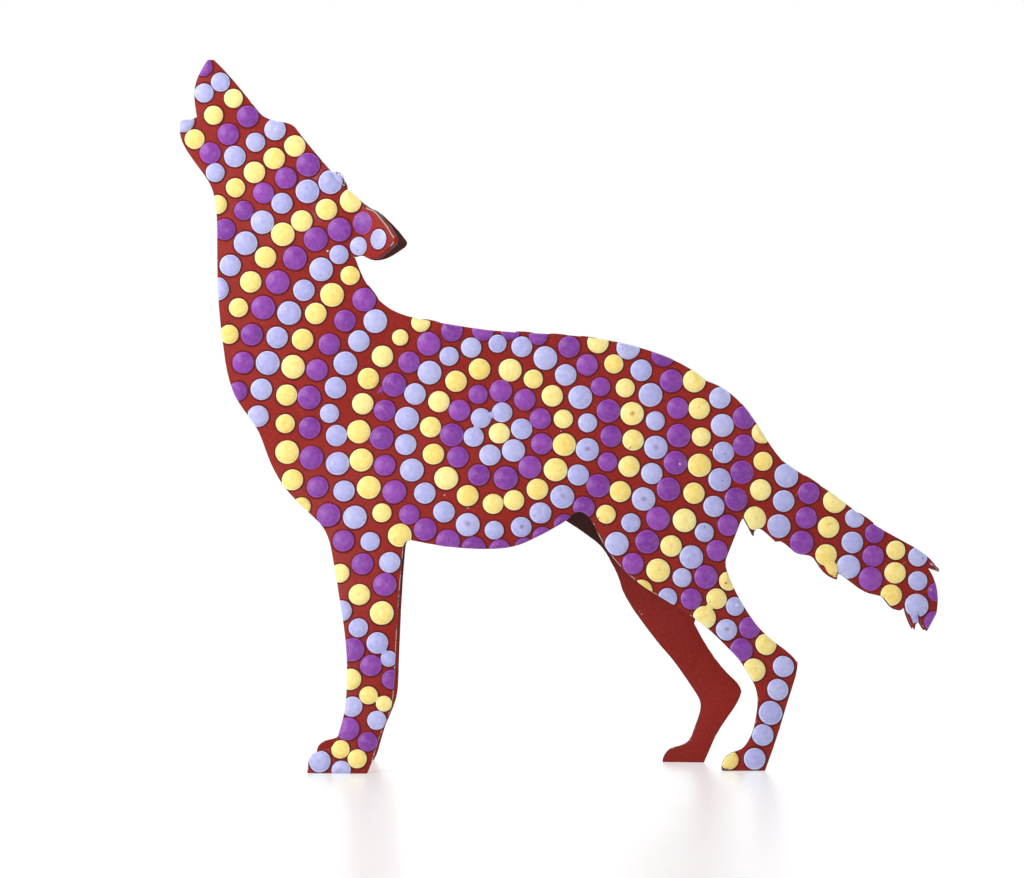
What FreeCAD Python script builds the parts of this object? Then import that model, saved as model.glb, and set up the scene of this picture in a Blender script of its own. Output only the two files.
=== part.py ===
import FreeCAD, Part
import math
import os
import random
from FreeCAD import Placement, Rotation, Vector

# Howling coyote: two steel profile plates, pressed together along the head, back and tail and
# spread apart below into four legs, covered with raised dabs of paint set in rings.
#
# Frame, in millimetres: +Z up, +X towards the tail, -Y towards the near plate.  The origin is on
# the ground under the middle of the figure, and the plane y = 0 is the seam between the plates.

os.makedirs("parts", exist_ok=True)
doc = FreeCAD.newDocument("coyote")

# ---------------------------------------------------------------- driving dimensions
SIZES = [
    # alias, value, what it is
    ("sheet_thickness", 1.5, "thickness of each steel plate"),
    ("seam_gap", 0.03, "half of the hairline between the two plates where they meet"),
    ("blank_depth", 40, "how far the outline is carried outwards before the plate is cut from it"),
    ("foreleg_spread", 20.5, "inner face of a front sole, from the seam plane"),
    ("hindleg_spread", 12, "inner face of a hind sole, from the seam plane"),
    ("tail_spread", 8.5, "spread that the tail would reach at the ground"),
    ("bend_length", 0.3, "share of the height below the ridge that is taken by the bend"),
    ("ear_hinge_x", -49.3, "bend line of both ears"),
    ("ear_foot_z", 122.3, "lower end of the bend line"),
    ("ear_bend_radius", 6, "bend radius on the outer face of the ear"),
    ("near_ear_angle", 45, "near ear, bent outwards, degrees"),
    ("far_ear_angle", 22, "far ear, bent outwards, degrees"),
    ("ring_centre_x", -14.5, "centre of the rings of dabs"),
    ("ring_centre_z", 80, "centre of the rings of dabs"),
    ("dab_pitch", 5.75, "distance between two dabs along a ring on the far plate"),
    ("tiny_dab", 1.95, "radius of a tiny dab"),
    ("small_dab", 2.3, "radius of a small dab"),
    ("medium_dab", 2.58, "radius of a medium dab"),
    ("large_dab", 2.85, "radius of a large dab"),
    ("dab_height", 0.9, "how far a medium dab stands off the plate"),
    ("dab_gap", 0.04, "least gap between neighbouring dabs"),
    ("tack_length", 2.4, "half length of a tack weld along the ridge"),
    ("tack_width", 1.35, "half width of a tack weld across the two edges"),
    ("tack_height", 0.3, "height of a tack weld"),
    ("crown_tack_height", 0.9, "height of the larger tack weld on the crown"),
]

sizes = doc.addObject("Spreadsheet::Sheet", "sizes")
for row, (alias, value, note) in enumerate(SIZES, start=1):
    sizes.set(f"A{row}", alias.replace("_", " "))
    sizes.set(f"B{row}", str(value))
    sizes.set(f"C{row}", note)
    sizes.setAlias(f"B{row}", alias)
doc.recompute()

THICK = float(sizes.sheet_thickness)
GAP = float(sizes.seam_gap)
NEAR, FAR = -1, 1                      # the side of the seam, as the sign of y

# ---------------------------------------------------------------- outlines, x and z
# Each run is one smooth curve through its points, or a straight edge when it has two points.
MUZZLE_TO_EAR = [
    [(-84.5, 169.5), (-83, 169.5)],
    [(-83, 169.5), (-81, 167.5), (-76.7, 162.6), (-72.4, 157.2)],
    [(-72.4, 157.2), (-70.3, 155.5), (-67.6, 154.7), (-65, 154.2), (-63, 152.6)],
    [(-63, 152.6), (-59.2, 147.8), (-55.1, 143), (-49.3, 136.5)],
    [(-49.3, 136.5), (-49.3, 122.3)],
]
NAPE_AND_BACK = [
    [(-49.3, 122.3), (-48.2, 119.4), (-46.3, 115.6), (-44, 112.5), (-40.8, 109.8),
     (-37.2, 108.2), (-34.3, 107.4)],
    [(-34.3, 107.4), (-26.4, 106), (-16.8, 104.6), (-4.8, 103.8), (4.3, 103.2), (13.6, 101.8),
     (21.5, 99.7), (29.2, 96.5), (35.2, 92.4)],
    [(35.2, 92.4), (42.6, 87.9), (46.4, 83.3), (49.8, 78), (53.2, 73.4)],
    [(53.2, 73.4), (56.5, 71.1), (64, 66.3), (70.2, 61.7), (77.1, 56.9), (84, 53.1), (87.4, 50.9),
     (90, 48.3), (91, 46.6)],
]
TAIL_END = [                            # ragged flame-cut tip, three spikes
    [(91, 46.6), (88.2, 47.6)],
    [(88.2, 47.6), (89.7, 44.7), (90.3, 42.2), (90, 36.7)],
    [(90, 36.7), (87.6, 32.5)],
    [(87.6, 32.5), (86.5, 34), (85.7, 37.1)],
    [(85.7, 37.1), (84.7, 32.8)],
    [(84.7, 32.8), (83.3, 35.8), (82.4, 38.6)],
    [(82.4, 38.6), (81.2, 37.5), (79.3, 38.3), (77, 40.8), (75.2, 41.2), (71.5, 42.9),
     (68.4, 45.3), (66.6, 46.4)],
    [(66.6, 46.4), (66.3, 44.8)],
    [(66.3, 44.8), (64.8, 45.4), (62.9, 47), (61.3, 49.3)],
    [(61.3, 49.3), (59.6, 50.6), (57.1, 51), (55.2, 52.4), (52.9, 54)],
    [(52.9, 54), (51.7, 53.9)],
    [(51.7, 53.9), (49.8, 55.7), (47.9, 57.2)],
    [(47.9, 57.2), (46.9, 56.9), (46.4, 55.1)],
    [(46.4, 55.1), (44.9, 58), (43.9, 59.8)],
]
NEAR_HINDLEG = [
    [(43.9, 59.8), (42.7, 57.8), (41, 53.8), (39.5, 49.6), (39.7, 47.2)],
    [(39.7, 47.2), (41.4, 42.9), (43.8, 38.5), (47.7, 33.1), (51.6, 29.7), (55.2, 26.8),
     (56.5, 25.2)],
    [(56.5, 25.2), (56.2, 23), (54.6, 18), (51.5, 8.6), (49.6, 3.4), (48.3, 0)],
    [(48.3, 0), (38, 0)],
    [(38, 0), (38.1, 1.4), (38.8, 2.9), (40.5, 4.2), (42.7, 5), (44.5, 7), (45.8, 10), (46.5, 13.4),
     (46.8, 16.3), (46.2, 19.8), (44.6, 22.7), (42.7, 25.7), (40, 28.6), (36.8, 31.8),
     (31.3, 36.2)],
    [(31.3, 36.2), (25.2, 40), (18.4, 44.4), (13.1, 49.5), (9, 55.8), (7.3, 59.2), (5.1, 61.1),
     (3.2, 60.6)],
    [(3.2, 60.6), (1, 58.8), (-2, 57), (-6.1, 54.9), (-10.8, 53), (-15.1, 52.4), (-22.9, 52.5),
     (-31, 53.5), (-35.5, 54.4)],
]
FAR_HINDLEG = [
    [(43.9, 59.8), (43.1, 57.6), (41.5, 53.4), (39.7, 48.6), (37.2, 42.5), (34, 37.5),
     (32.6, 34)],
    [(32.6, 34), (35.3, 29.1), (38.3, 24.7), (41.2, 21.4), (43.2, 19.4), (44.1, 17.4)],
    [(44.1, 17.4), (43, 14.6), (40.4, 10.6), (38, 6.6), (36.7, 3.6), (35.2, 0)],
    [(35.2, 0), (25.2, 0)],
    [(25.2, 0), (25.6, 1.6), (27.1, 3.3), (29.6, 4.1), (31.6, 5.4), (32.8, 8.2), (34, 11.8),
     (34.3, 14.4), (32.9, 17.4), (30.4, 21.1), (27.5, 25.1), (24.5, 28.6), (21, 33.1),
     (17.5, 38), (15.2, 42.2)],
    [(15.2, 42.2), (14, 45.9), (12.4, 49.1), (10.1, 52.6), (7.1, 55.1), (4.1, 57.2), (0.6, 59.4)],
    [(0.6, 59.4), (-2.6, 57.6), (-6.1, 55.2), (-10.8, 53), (-15.1, 52.4), (-22.9, 52.5),
     (-31, 53.5), (-35.5, 54.4)],
]
FORELEG_AND_THROAT = [
    [(-35.5, 54.4), (-36.7, 54), (-37.3, 52.8)],
    [(-37.3, 52.8), (-37.9, 45.9), (-38.5, 36.9), (-38.9, 28.9), (-39.2, 22), (-39.9, 15.2),
     (-41.3, 11.5), (-42.8, 7.8), (-44, 3.6), (-45.4, 0)],
    [(-45.4, 0), (-59.5, 0)],
    [(-59.5, 0), (-59.4, 1.6), (-58.6, 4), (-56.8, 5), (-54.2, 5.8), (-52.6, 8), (-51.7, 10.8),
     (-51, 13.5), (-50.5, 18), (-50.4, 24.3), (-50.8, 30.6), (-51.7, 36.8), (-53, 44),
     (-54.2, 50.8), (-55.4, 55.3), (-57.5, 58.6)],
    [(-57.5, 58.6), (-60.7, 61.6), (-65.1, 66), (-68.4, 70.9), (-70.5, 75.8), (-72.4, 80.6),
     (-75.2, 84.7), (-77.4, 88), (-79.3, 92.8), (-80.6, 100)],
    [(-80.6, 100), (-81.6, 108.3), (-82.1, 116.7), (-82.2, 127.4), (-82.6, 135), (-83.7, 139.2),
     (-86, 142.8), (-89.6, 147.9), (-90.9, 150.7), (-91.2, 153), (-91, 154.8)],
]
MOUTH = [
    [(-91, 154.8), (-89.6, 155.1), (-88.2, 155.1)],
    [(-88.2, 155.1), (-87.1, 155.8)],
    [(-87.1, 155.8), (-87.6, 159), (-87.7, 161.4), (-87.5, 163.4), (-86.3, 166.5),
     (-84.5, 169.5)],
]
NEAR_OUTLINE = (MUZZLE_TO_EAR + NAPE_AND_BACK + TAIL_END + NEAR_HINDLEG + FORELEG_AND_THROAT
                + MOUTH)
FAR_OUTLINE = (MUZZLE_TO_EAR + NAPE_AND_BACK + TAIL_END + FAR_HINDLEG + FORELEG_AND_THROAT
               + MOUTH)

# The ear, unrolled: distance from the bend line, and height above its lower end.
EAR_OUTLINE = [
    [(-1.6, 14.2), (0.5, 14.2)],
    [(0.5, 14.2), (2.2, 12.6), (3.9, 11.5), (6.1, 10.7), (7.9, 9.3), (10.8, 6.6), (12.5, 4.6)],
    [(12.5, 4.6), (13.1, 3.6), (12.5, 2.5)],
    [(12.5, 2.5), (9.6, 0.6), (6.7, -0.6), (4.1, -0.5), (2.3, 0.3), (0.5, 0)],
    [(0.5, 0), (-1.6, 0.3)],
    [(-1.6, 0.3), (-1.6, 14.2)],
]

# ---------------------------------------------------------------- the spread of the plates
HINGE_HEIGHT = [                        # below this height the plates part, along x
    (-95, 66), (-72, 82), (-50, 94), (-29, 102), (0, 104), (20, 101), (35, 93), (44, 78),
    (52, 62), (62, 54), (100, 50),
]
SPREAD_SHARE = [                        # 0 at the hind soles' spread, 1 at the front soles'
    (-95, 0), (-60, 0.8), (-47, 1), (-25, 1), (0, 0.8), (25, 0.3), (45, 0),
]
TAIL_FADE = [(45, 0), (75, 0.8), (100, 1)]      # from the hind leg's spread to the tail's


def smooth(knots, x):
    """Value at x of the smooth curve through the (x, value) knots."""
    if x <= knots[0][0]:
        return knots[0][1]
    if x >= knots[-1][0]:
        return knots[-1][1]
    k = max(i for i in range(len(knots) - 1) if knots[i][0] <= x)

    def slope(i):
        if i in (0, len(knots) - 1):
            return 0.0
        return (knots[i + 1][1] - knots[i - 1][1]) / (knots[i + 1][0] - knots[i - 1][0])

    (x0, v0), (x1, v1) = knots[k], knots[k + 1]
    span, f = x1 - x0, (x - x0) / (x1 - x0)
    return ((2 * f**3 - 3 * f**2 + 1) * v0 + (f**3 - 2 * f**2 + f) * span * slope(k)
            + (3 * f**2 - 2 * f**3) * v1 + (f**3 - f**2) * span * slope(k + 1))


def ramp(drop):
    """0 above the bend, a soft start through it, then straight down to 1 at the ground."""
    soft = float(sizes.bend_length)
    steep = 1 / (1 - soft / 2)
    if drop <= 0:
        return 0.0
    if drop >= soft:
        return steep * (drop - soft / 2)
    wave = soft / (4 * math.pi**2) * (math.cos(2 * math.pi * drop / soft) - 1)
    return steep * (drop * drop / (2 * soft) + wave)


def spread(x, z):
    """Distance of a plate's inner face from the seam plane."""
    fore, hind = float(sizes.foreleg_spread), float(sizes.hindleg_spread)
    at_ground = hind + (fore - hind) * smooth(SPREAD_SHARE, x)
    at_ground += (float(sizes.tail_spread) - hind) * smooth(TAIL_FADE, x)
    height = smooth(HINGE_HEIGHT, x)
    return GAP + at_ground * ramp((height - z) / height)


# ---------------------------------------------------------------- plates
def sketch_runs(sketch, runs):
    """Draw the closed outline that the runs describe, joined end to end."""
    for run in runs:
        points = [Vector(a, b, 0) for a, b in run]
        if len(points) == 2:
            sketch.addGeometry(Part.LineSegment(*points))
        else:
            curve = Part.BSplineCurve()
            curve.interpolate(points)
            sketch.addGeometry(curve)


def origin_plane(body, role):
    return next(f for f in body.Origin.OriginFeatures if f.Role == role)


def padded_body(name, plane, runs, length, both_ways=False, reverse=False):
    """A body padded from one closed sketch; length is an expression."""
    body = doc.addObject("PartDesign::Body", name)
    sketch = body.newObject("Sketcher::SketchObject", name + "_sketch")
    sketch.AttachmentSupport = [(origin_plane(body, plane), "")]
    sketch.MapMode = "FlatFace"
    sketch_runs(sketch, runs)
    pad = body.newObject("PartDesign::Pad", name + "_pad")
    pad.Profile = sketch
    pad.setExpression("Length", length)
    pad.Midplane = both_ways
    pad.Reversed = reverse
    doc.recompute()
    return body


def bent_slab(name, side):
    """The sheet's own shape before its outline is cut: flat above, spread below."""
    xs = [-97 + 6 * i for i in range(34)]
    zs = [-5 + 6 * j for j in range(31)]
    rows = [[Vector(x, side * spread(x, z), z) for z in zs] for x in xs]
    surface = Part.BSplineSurface()
    surface.interpolate(rows)
    slab = doc.addObject("Part::Feature", name)
    slab.Shape = surface.toShape().extrude(Vector(0, side * THICK, 0))
    return slab


def ear_angle(side):
    return math.radians(float(sizes.near_ear_angle if side == NEAR else sizes.far_ear_angle))


def bent_ear(name, side):
    """The ear: a strip bent about an upright line, cut to the ear's outline."""
    angle = ear_angle(side)
    radius = float(sizes.ear_bend_radius)
    inset = 0.006                       # keeps the strip's faces inside the plate's faces
    inner, outer = GAP + inset, GAP + THICK - inset
    pivot_y = GAP + THICK + radius
    direction = (math.cos(angle), math.sin(angle))

    def on_arc(face, turn):
        reach = pivot_y - face
        return (reach * math.sin(turn), pivot_y - reach * math.cos(turn))

    def along(point, distance):
        return (point[0] + distance * direction[0], point[1] + distance * direction[1])

    def place(point):                   # plan position, outwards measured along side
        return Vector(float(sizes.ear_hinge_x) + point[0], side * point[1], 0)

    strip = doc.addObject("PartDesign::Body", name + "_strip")
    sketch = strip.newObject("Sketcher::SketchObject", name + "_strip_sketch")
    sketch.AttachmentSupport = [(origin_plane(strip, "XY_Plane"), "")]
    sketch.MapMode = "FlatFace"
    overlap, reach = 1.2, 14
    inner_end, outer_end = on_arc(inner, angle), on_arc(outer, angle)
    for first, last in [((-overlap, inner), (0, inner)), (inner_end, along(inner_end, reach)),
                        (along(inner_end, reach), along(outer_end, reach)),
                        (along(outer_end, reach), outer_end), ((0, outer), (-overlap, outer)),
                        ((-overlap, outer), (-overlap, inner))]:
        sketch.addGeometry(Part.LineSegment(place(first), place(last)))
    for face in (inner, outer):
        points = [place(on_arc(face, angle * k / 2)) for k in range(3)]
        sketch.addGeometry(Part.Arc(*points))
    pad = strip.newObject("PartDesign::Pad", name + "_strip_pad")
    pad.Profile = sketch
    pad.Length = 24
    strip.Placement = Placement(Vector(0, 0, float(sizes.ear_foot_z) - 4), Rotation())

    blank = padded_body(name + "_blank", "XZ_Plane", EAR_OUTLINE, "sizes.blank_depth / 4",
                        both_ways=True)
    middle = on_arc(GAP + THICK / 2, angle)
    unrolled = (radius + THICK / 2) * angle
    start = place(along(middle, -unrolled))
    start.z = float(sizes.ear_foot_z)
    blank.Placement = Placement(start, Rotation(Vector(0, 0, 1), side * math.degrees(angle)))
    ear = doc.addObject("Part::Common", name)
    ear.Base, ear.Tool = strip, blank
    doc.recompute()
    return ear


def make_plate(name, side, runs):
    blank = padded_body(name + "_blank", "XZ_Plane", runs, "sizes.blank_depth",
                        reverse=(side == FAR))
    slab = bent_slab(name + "_slab", side)
    sheet = doc.addObject("Part::Common", name + "_sheet")
    sheet.Base, sheet.Tool = blank, slab
    ear = bent_ear(name + "_ear", side)
    plate = doc.addObject("Part::Fuse", name)
    plate.Base, plate.Tool = sheet, ear
    plate.Refine = False
    plate.Label = name
    doc.recompute()
    return plate


near_plate = make_plate("near_plate", NEAR, NEAR_OUTLINE)
far_plate = make_plate("far_plate", FAR, FAR_OUTLINE)

# ---------------------------------------------------------------- tack welds on the ridge
def ridge(x):
    """Height and slope, in degrees, of the top edge over x."""
    edges = [p for run in MUZZLE_TO_EAR[2:4] + NAPE_AND_BACK for p in run]
    for (x0, z0), (x1, z1) in zip(edges, edges[1:]):
        if x0 < x1 and x0 <= x <= x1:
            return z0 + (z1 - z0) * (x - x0) / (x1 - x0), math.degrees(math.atan2(z1 - z0, x1 - x0))
    raise ValueError(f"no ridge over {x}")


TACKS = [-52.6, -44.9, -31, -8.5, -0.5, 7, 25.5, 44.5, 60.5, 73.5]      # x of each weld
CROWN_TACK = TACKS[0]
tacks = []
for index, x in enumerate(TACKS, start=1):
    z, slope = ridge(x)
    tack = doc.addObject("Part::Ellipsoid", f"tack_{index}")
    tack.setExpression("Radius1", "sizes.crown_tack_height" if x == CROWN_TACK
                       else "sizes.tack_height")
    tack.setExpression("Radius2", "sizes.tack_length")
    tack.setExpression("Radius3", "sizes.tack_width")
    tack.Angle1 = 0                     # upper half only, with a flat foot
    tack.Placement = Placement(Vector(x, 0, z + 0.02), Rotation(Vector(0, 1, 0), -slope))
    tacks.append(tack)
tack_welds = doc.addObject("Part::Compound", "tack_welds")
tack_welds.Links = tacks
tack_welds.Label = "tack_welds"

# ---------------------------------------------------------------- dabs of paint
# One full dab: a low dome with a flat foot, the master of every dab in the groups.
dab_form = doc.addObject("PartDesign::Body", "dab_form")
profile = dab_form.newObject("Sketcher::SketchObject", "dab_profile")
profile.AttachmentSupport = [(origin_plane(dab_form, "XZ_Plane"), "")]
profile.MapMode = "FlatFace"
foot, top = float(sizes.medium_dab), float(sizes.dab_height)
DOME = (foot * foot + top * top) / (2 * top)            # radius of the dome's sphere
half_way = math.asin(foot / DOME) / 2
crest = Part.Arc(Vector(foot, 0, 0),
                 Vector(DOME * math.sin(half_way), top - DOME * (1 - math.cos(half_way)), 0),
                 Vector(0, top, 0))
profile.addGeometry(Part.LineSegment(Vector(0, 0, 0), Vector(foot, 0, 0)))
profile.addGeometry(crest)
profile.addGeometry(Part.LineSegment(Vector(0, top, 0), Vector(0, 0, 0)))
turn = dab_form.newObject("PartDesign::Revolution", "dab_turn")
turn.Profile = profile
turn.ReferenceAxis = (profile, ["V_Axis"])
turn.Angle = 360
doc.recompute()

COLOURS = ("yellow", "blue", "purple")  # the order of the rings, from the centre out
RING_PITCH = [                          # far plate: distance between rings, by bearing
    (0, 5.32), (45, 5.23), (75, 5), (90, 4.92), (105, 5.06), (120, 5.54), (150, 5.73),
    (195, 5.7), (240, 5.68), (270, 5.55), (300, 5.36), (330, 5.45), (360, 5.32),
]
# Near plate: for each ring, its rows of evenly spaced dabs, as the bearing and the distance from
# the centre of the row's first and last dab, and a word with one letter for the size of each dab:
# tiny, small, medium or large.  Bearings are in degrees from the tail's side upwards.
NEAR_ROWS = {
    0: [(0, 0, 0, 0, "m")],
    1: [(83, 5, 147, 5.5, "mm"), (185.5, 6, 370, 5.5, "mmlm")],
    2: [(87.5, 10, 182.5, 11.5, "lsml"), (210.5, 11.5, 412.5, 10, "mmllmmm")],
    3: [(107.5, 16, 266, 17, "mmmmmlmm"), (281, 16.5, 440.5, 15, "mmllsmsl")],
    4: [(75.5, 21.5, 283, 23.5, "msmslmlmlmmlsm"), (297, 21.5, 418.5, 21, "mlmlslml")],
    5: [(68.5, 25, 99.5, 24.5, "sml"), (115, 27, 223, 29, "mlmlmlmlm"),
        (232, 29, 283, 27.5, "lllmm"), (292, 27, 411, 26.5, "mmmlsmlsmm")],
    6: [(322.5, 32, 402.5, 32, "smmmlssm"), (485.5, 32.5, 517.5, 34, "stmm"),
        (528, 33.5, 586, 34, "mlllsl")],
    7: [(138, 40, 173.5, 41, "lmlms"), (181, 39, 230, 40.5, "mlmlsm"),
        (316.5, 38.5, 316.5, 38.5, "l"), (325.5, 38, 393.5, 37, "slmlslml")],
    8: [(135.5, 45.5, 169.5, 46.5, "lmmml"), (178.5, 45.5, 233, 45, "mlmlmml"),
        (315.5, 44.5, 331.5, 43, "mll"), (341.5, 42.5, 385.5, 43.5, "lllmll")],
    9: [(133.5, 52, 140.5, 52, "sl"), (147, 52.5, 200.5, 50.5, "mmlmslms"),
        (221.5, 50.5, 237, 51, "sml"), (312, 50.5, 319, 50, "ml"), (326.5, 49, 375, 48, "mlmlsml")],
    10: [(122, 54.5, 132, 57.5, "tts"), (137.5, 58, 182.5, 58, "lmlmlmmm"),
        (228.5, 56.5, 240, 57.5, "msm"), (244, 59.5, 244, 59.5, "t"),
        (315.5, 56, 321.5, 55.5, "ss"), (327, 54.5, 369, 53.5, "lsmlmlm")],
    11: [(123, 60, 133.5, 64, "tll"), (139.5, 64.5, 171, 63.5, "lllmms"),
        (236, 62, 246.5, 63.5, "lms"), (319, 60.5, 325, 60, "ml"),
        (331.5, 59, 363.5, 58.5, "mmllml")],
    12: [(122.5, 66, 133, 69.5, "lmm"), (137.5, 70.5, 160, 69, "lmmss"),
        (239, 68, 243.5, 69.5, "ms"), (247, 69.5, 247, 69.5, "t"), (318, 65.5, 327, 65, "lms"),
        (341.5, 64.5, 360, 63, "lmsm")],
    13: [(124, 72.5, 128.5, 74, "ll"), (133.5, 76, 153, 76, "mllml"), (242, 73, 247, 73.5, "ms"),
        (319, 71.5, 323.5, 69.5, "ms"), (341.5, 70.5, 351.5, 69.5, "lml")],
    14: [(125.5, 79, 143.5, 82, "lmmsm"), (243, 78.5, 247, 79, "ls"), (318, 77.5, 322, 75.5, "lm"),
        (340, 77, 349, 75.5, "lmm")],
    15: [(125.5, 84.5, 141, 87, "mmmss"), (243.5, 83, 246.5, 83.5, "ss"),
        (317, 82.5, 321.5, 81, "lm"), (339.5, 83.5, 339.5, 83.5, "m"), (344, 82, 348.5, 82, "ml")],
    16: [(126.5, 90.5, 126.5, 90.5, "m"), (130, 91, 137.5, 92.5, "sms"),
        (241.5, 88, 245, 87.5, "ms"), (314, 92.5, 320.5, 87.5, "lmm"),
        (339, 89.5, 346.5, 87.5, "lms")],
    17: [(338.5, 95.5, 345, 93, "lms"), (488.5, 97, 496, 96.5, "mmm")],
    18: [(305, 94.5, 305, 94.5, "s"), (337.5, 101.5, 337.5, 101.5, "m"),
        (340.5, 100.5, 340.5, 100.5, "m"), (343.5, 99, 343.5, 99, "s"),
        (488.5, 102.5, 488.5, 102.5, "s"), (492, 102.5, 496, 102, "sm")],
    19: [(308, 98, 311, 95, "mm"), (337.5, 108, 343.5, 104.5, "lss"),
        (488.5, 107.5, 488.5, 107.5, "s"), (491, 108, 495.5, 106, "sl")],
    20: [(336.5, 113.5, 336.5, 113.5, "m"), (340, 111.5, 340, 111.5, "s"),
        (489, 113, 489, 113, "s")],
}


DAB_SIZES = {
    "t": float(sizes.tiny_dab),
    "s": float(sizes.small_dab),
    "m": float(sizes.medium_dab),
    "l": float(sizes.large_dab),
}


def near_centres():
    """Ring, bearing, distance from the centre and radius of each dab on the near plate."""
    for ring, rows in NEAR_ROWS.items():
        for first, first_reach, last, last_reach, word in rows:
            for k, letter in enumerate(word):
                share = k / max(len(word) - 1, 1)
                yield (ring, first + (last - first) * share,
                       first_reach + (last_reach - first_reach) * share, DAB_SIZES[letter])


def far_centres(chance):
    """Full rings on the far plate, each started at a bearing of its own."""
    yield 0, 0.0, 0.0, DAB_SIZES["m"]
    for ring in range(1, 22):
        around = 2 * math.pi * ring * smooth(RING_PITCH, 150) / float(sizes.dab_pitch)
        number, start = round(around), chance.uniform(0, 360)
        for k in range(number):
            bearing = start + 360 * (k + chance.uniform(-0.1, 0.1)) / number
            radius = DAB_SIZES[chance.choice("smmmll")]
            yield ring, bearing, ring * smooth(RING_PITCH, bearing % 360), radius


def discretised(runs):
    points = []
    for run in runs:
        ends = [Vector(a, 0, b) for a, b in run]
        if len(ends) == 2:
            points.append(ends[0])
            continue
        curve = Part.BSplineCurve()
        curve.interpolate(ends)
        points += curve.discretize(Number=6 * len(ends))[:-1]
    return [(p.x, p.z) for p in points]


def distance_inside(x, z, loop):
    """Distance from the outline, positive inside it."""
    nearest, inside = 1e9, False
    for (x0, z0), (x1, z1) in zip(loop, loop[1:] + loop[:1]):
        dx, dz = x1 - x0, z1 - z0
        along = max(0.0, min(1.0, ((x - x0) * dx + (z - z0) * dz) / (dx * dx + dz * dz)))
        nearest = min(nearest, math.hypot(x - x0 - along * dx, z - z0 - along * dz))
        if (z0 > z) != (z1 > z) and x < x0 + dx * (z - z0) / dz:
            inside = not inside
    return nearest if inside else -nearest


def on_plate(x, z, side):
    """Point and outward normal of a plate's outer face, seen along y at (x, z)."""
    step = 0.5
    slope_x = (spread(x + step, z) - spread(x - step, z)) / (2 * step)
    slope_z = (spread(x, z + step) - spread(x, z - step)) / (2 * step)
    point = Vector(x, side * (spread(x, z) + THICK), z)
    normal = Vector(-slope_x, side, -slope_z)
    over = x - float(sizes.ear_hinge_x)
    if over > 0 and z > float(sizes.ear_foot_z) - 1:
        radius, angle = float(sizes.ear_bend_radius), ear_angle(side)
        turn = math.asin(min(over / radius, math.sin(angle)))
        flat = max(0.0, over - radius * math.sin(angle)) * math.tan(angle)
        point.y += side * (radius * (1 - math.cos(turn)) + flat)
        normal = Vector(-math.sin(turn), side * math.cos(turn), 0)
    return point, normal.normalize()


def region(x, z):
    """Name of the part of the coyote that a dab belongs to."""
    if x > 44 and z > 33 + max(0.0, 60 - x):
        return "tail"
    if x > 4 and z < 47:
        return "hindleg"
    if x > 10:
        return "haunch"
    if z < 54 and x < -34:
        return "foreleg"
    if x > -42:
        return "flank"
    if z > 131:
        return "head"
    return "neck" if z > 96 else "chest"


def ear_air(side):
    """The space in front of an ear's bent face, which shapes the feet of the dabs there."""
    clear = 0.02
    angle, radius = ear_angle(side), float(sizes.ear_bend_radius) - clear
    face, depth, reach = GAP + THICK + clear, 20, 16

    def place(along, out):
        return Vector(float(sizes.ear_hinge_x) + along, side * out, float(sizes.ear_foot_z) - 6)

    def on_arc(turn):
        return place(radius * math.sin(turn), face + radius * (1 - math.cos(turn)))

    far_along = radius * math.sin(angle) + reach * math.cos(angle)
    far_out = face + radius * (1 - math.cos(angle)) + reach * math.sin(angle)
    corners = [on_arc(angle), place(far_along, far_out), place(far_along, far_out + depth),
               place(-reach, far_out + depth), place(-reach, face), place(0, face)]
    edges = [Part.LineSegment(a, b).toShape() for a, b in zip(corners, corners[1:])]
    edges.append(Part.Arc(place(0, face), on_arc(angle / 2), on_arc(angle)).toShape())
    return Part.Face(Part.Wire(edges)).extrude(Vector(0, 0, 30))


def on_bend(x, z, radius, side):
    """Whether a dab lies over the bend of the ear, where its foot has to follow the plate."""
    over = x - float(sizes.ear_hinge_x)
    bend = float(sizes.ear_bend_radius) * math.sin(ear_angle(side))
    return -0.9 * radius < over < bend + radius and z > float(sizes.ear_foot_z) - 1


def dab_on_bend(point, normal, radius, air):
    """A dab over the ear's bend: a ball cut to the air side of the plate."""
    scale = radius / float(sizes.medium_dab)
    sunk = scale * (DOME - float(sizes.dab_height))
    return Part.makeSphere(DOME * scale, point - normal * sunk).common(air)


def dab_solid(x, z, radius, side, air, blank):
    """One dab on its plate, cut off where it runs over an edge, or None if little is left."""
    point, normal = on_plate(x, z, side)
    scale = radius / float(sizes.medium_dab)
    if on_bend(x, z, radius, side):
        solid = dab_on_bend(point, normal, radius, air)
    else:
        solid = dab_form.Shape.Solids[0].copy()
        solid.Placement = Placement()
        solid.scale(scale)
        solid.Placement = Placement(point + normal * 0.03, Rotation(Vector(0, 0, 1), normal))
    if blank is None:
        return max(solid.Solids, key=lambda s: s.Volume)
    least = 0.15 * dab_form.Shape.Volume * scale**3
    left = [s for s in solid.common(blank).Solids if s.Volume > least]
    return max(left, key=lambda s: s.Volume) if left else None


def spread_out(dabs):
    """Neighbours that would run together are moved apart a little and made a little smaller."""
    gap, move, shrink = float(sizes.dab_gap), 0.3, 0.1      # shares of the overlap, per dab
    for _ in range(6):
        for i, first in enumerate(dabs):
            for second in dabs[i + 1:]:
                dx, dz = second[0] - first[0], second[1] - first[1]
                apart = math.hypot(dx, dz)
                excess = first[2] + second[2] + gap - apart
                if excess > 0:
                    first[0] -= move * excess * dx / apart
                    first[1] -= move * excess * dz / apart
                    second[0] += move * excess * dx / apart
                    second[1] += move * excess * dz / apart
                    first[2] -= shrink * excess
                    second[2] -= shrink * excess


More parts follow.
